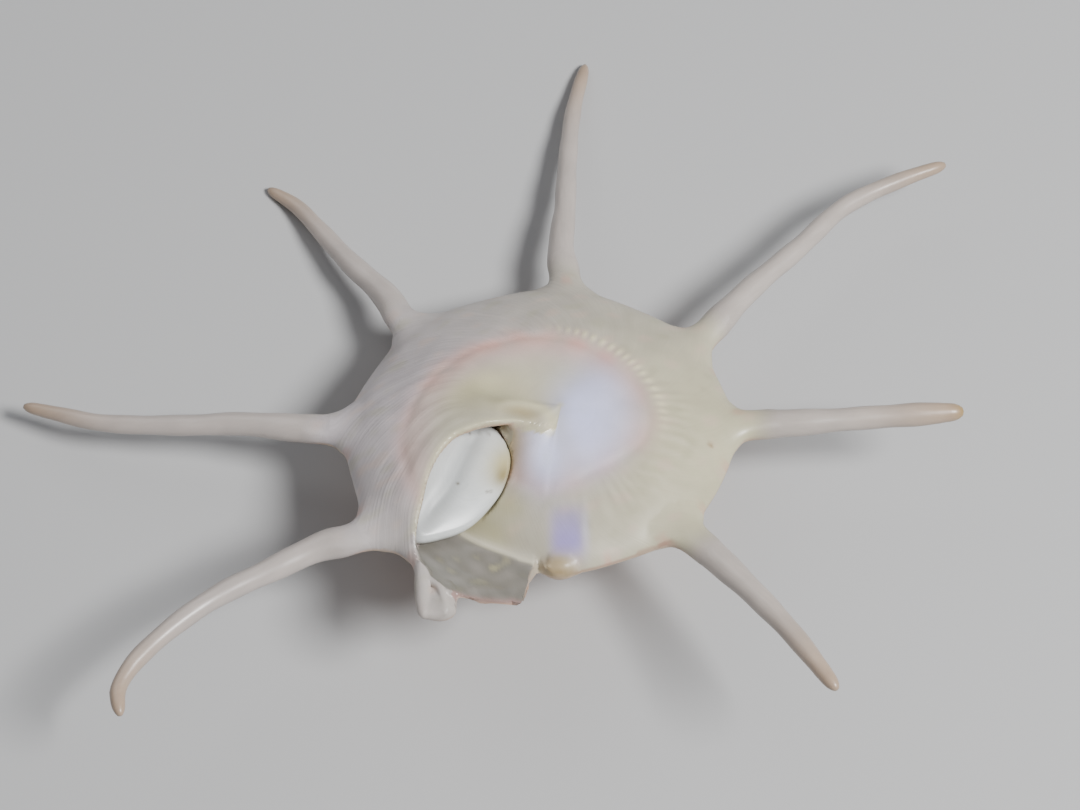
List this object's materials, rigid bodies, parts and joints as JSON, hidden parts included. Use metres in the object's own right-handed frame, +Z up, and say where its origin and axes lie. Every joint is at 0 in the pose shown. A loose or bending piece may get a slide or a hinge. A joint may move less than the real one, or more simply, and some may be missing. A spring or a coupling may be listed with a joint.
{
  "type": "star turban shell",
  "caption": "Low conical sea snail shell with long slender spines around its edge, lying base up, its mouth closed by an oval limy operculum.",
  "frame": {"origin": "centre of the bounding box at the level of the ground; the shell lies on the tip of its spire and on two of its spines", "axes": "+Z up, out of the shell's base; +X along the longest way across the spines; -Y towards the lip and the mouth"},
  "size_m": [0.1022, 0.0878, 0.02],
  "materials": {
    "shell": "satin",
    "operculum": "gloss"
  },
  "bodies": {
    "root": {"shell": "shell", "operculum": "operculum"}
  },
  "joints": []
}
